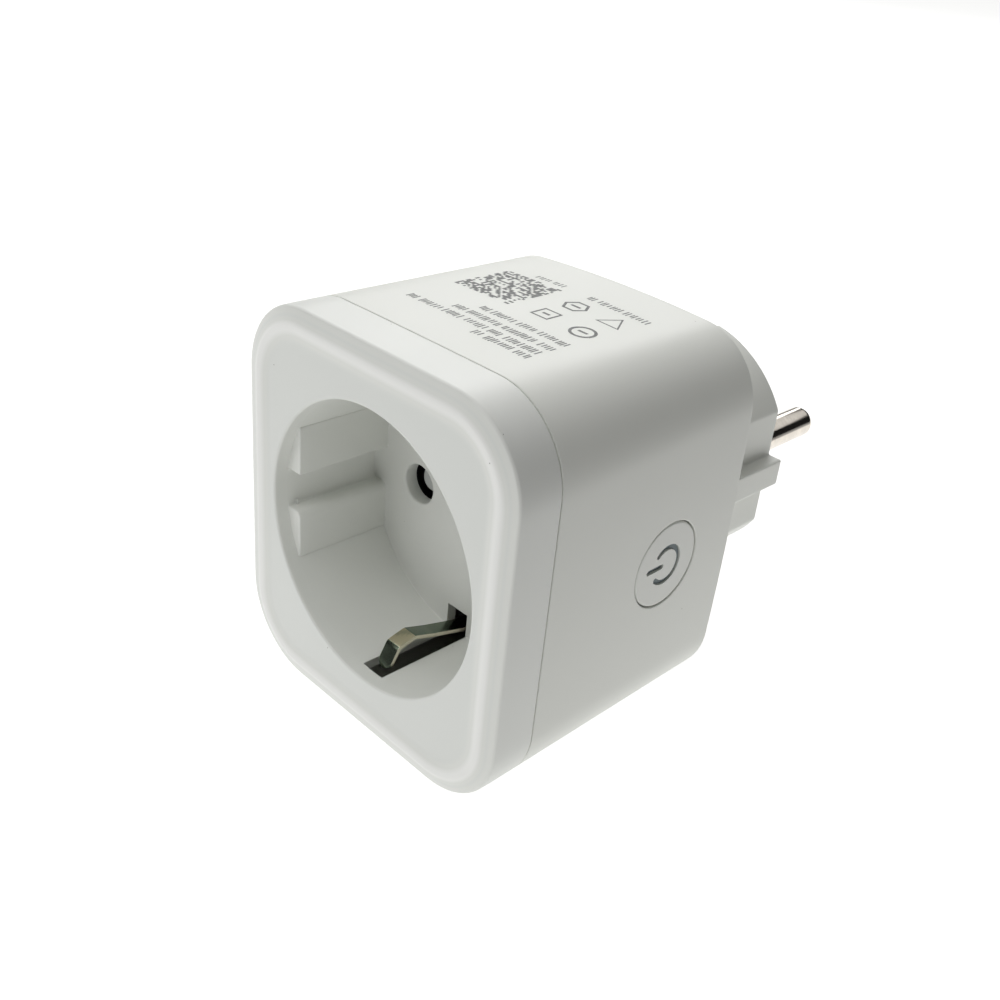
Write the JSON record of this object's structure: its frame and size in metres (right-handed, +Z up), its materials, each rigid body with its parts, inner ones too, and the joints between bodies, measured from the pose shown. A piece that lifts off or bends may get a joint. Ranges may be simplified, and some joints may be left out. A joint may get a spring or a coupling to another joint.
{
  "type": "smart plug",
  "caption": "Wall-plug adapter with a side-earthed round socket in front, a two-pin earthed plug behind and a round side button that switches a relay inside.",
  "frame": {"origin": "centre of the plug's end face, midway between the two pins", "axes": "+Y from the socket face towards the pins, +X towards the side with the button, +Z up towards the printed side"},
  "size_m": [0.0494, 0.0826, 0.054],
  "materials": {
    "shell_white": "pale off-white satin moulded plastic with a very fine texture",
    "housing_white": "pale off-white satin moulded plastic, a touch greyer than the cover",
    "symbol_grey": "smooth translucent grey-blue plastic",
    "nickel": "bright nickel plate with fine turning marks",
    "spring_nickel": "darker nickel-plated spring strip with stamped edges",
    "brass_strip": "stamped brass strip, lightly tarnished",
    "copper_parts": "bare and enamelled copper",
    "steel_parts": "zinc-plated steel",
    "board_green": "green solder mask over glass-fibre board",
    "board_black": "black solder mask over glass-fibre board",
    "black_plastic": "black moulded plastic",
    "shutter_grey": "light grey moulded plastic",
    "chip_black": "black moulding compound with tinned legs",
    "relay_blue": "blue relay cover plastic",
    "bobbin_cream": "cream bobbin plastic",
    "capacitor_sleeve": "dark shrink sleeve over an aluminium can",
    "film_yellow": "yellow potted box",
    "varistor_blue": "blue epoxy dip",
    "resistor_green": "flameproof green-grey cement coating",
    "ferrite": "dark ferrite with enamelled winding",
    "led_white": "cream LED package",
    "wire_green_yellow": "green and yellow wire insulation"
  },
  "bodies": {
    "housing": {"front_cover": "shell_white", "rear_housing": "housing_white", "line_pin": "nickel", "neutral_pin": "nickel", "pin_clamp_plate": "black_plastic", "line_strap": "brass_strip", "neutral_strap": "brass_strip", "plug_earth_bow": "nickel", "clamp_screw_1": "steel_parts", "clamp_screw_2": "steel_parts", "socket_earth_bracket": "nickel", "earth_wire": "wire_green_yellow", "line_contact": "brass_strip", "neutral_contact": "brass_strip", "shutter_retainer": "black_plastic", "shutter_spring": "spring_nickel", "retainer_screw_1": "steel_parts", "retainer_screw_2": "steel_parts", "switch_body": "black_plastic", "status_led": "led_white", "control_board": "board_black", "wireless_shield": "steel_parts", "wireless_antenna": "copper_parts", "power_board": "board_green", "relay_case": "relay_blue", "relay_base": "black_plastic", "relay_bobbin": "bobbin_cream", "relay_coil": "copper_parts", "relay_yoke": "steel_parts", "relay_fixed_contact": "brass_strip", "bulk_capacitor_1": "capacitor_sleeve", "bulk_capacitor_2": "capacitor_sleeve", "film_capacitor": "film_yellow", "filter_inductor": "ferrite", "varistor": "varistor_blue", "fuse_resistor": "resistor_green", "bridge_rectifier": "chip_black", "metering_chip": "chip_black", "converter_chip": "chip_black", "current_shunt": "copper_parts", "board_screw_1": "steel_parts", "board_screw_2": "steel_parts"},
    "button": {"button_cap": "shell_white", "symbol_light_guide": "symbol_grey"},
    "switch_plunger": {"switch_plunger": "shutter_grey"},
    "shutter": {"shutter": "shutter_grey"},
    "clip_lower": {"earth_clip_lower": "spring_nickel"},
    "clip_upper": {"earth_clip_upper": "spring_nickel"},
    "armature": {"relay_armature": "steel_parts", "relay_contact_blade": "copper_parts"}
  },
  "joints": [
    {"name": "button_press", "type": "slide", "parent": "housing", "child": "button", "axis": [-1, 0, 0], "range_m": [0, 0.0003], "stiffness_N_per_m": 6000},
    {"name": "switch_press", "type": "slide", "parent": "housing", "child": "switch_plunger", "axis": [-1, 0, 0], "range_m": [0, 0.0003]},
    {"name": "shutter_turn", "type": "hinge", "parent": "housing", "child": "shutter", "pos_m": [0, -0.0431, 0], "axis": [0, 1, 0], "range_deg": [0, 40], "stiffness_Nm_per_rad": 0.004, "deforming": ["shutter_spring"]},
    {"name": "earth_clip_lower_flex", "type": "hinge", "parent": "housing", "child": "clip_lower", "pos_m": [0, -0.0414, -0.0187], "axis": [1, 0, 0], "range_deg": [0, 5], "stiffness_Nm_per_rad": 0.8},
    {"name": "earth_clip_upper_flex", "type": "hinge", "parent": "housing", "child": "clip_upper", "pos_m": [0, -0.0414, 0.0187], "axis": [-1, 0, 0], "range_deg": [0, 5], "stiffness_Nm_per_rad": 0.8},
    {"name": "relay_armature_swing", "type": "hinge", "parent": "housing", "child": "armature", "pos_m": [0.00255, -0.0284, 0.0143], "axis": [0, 0, -1], "range_deg": [0, 4], "stiffness_Nm_per_rad": 0.01}
  ],
  "couplings": [
    {"joint": "switch_press", "follows": "button_press", "ratio": 1}
  ]
}
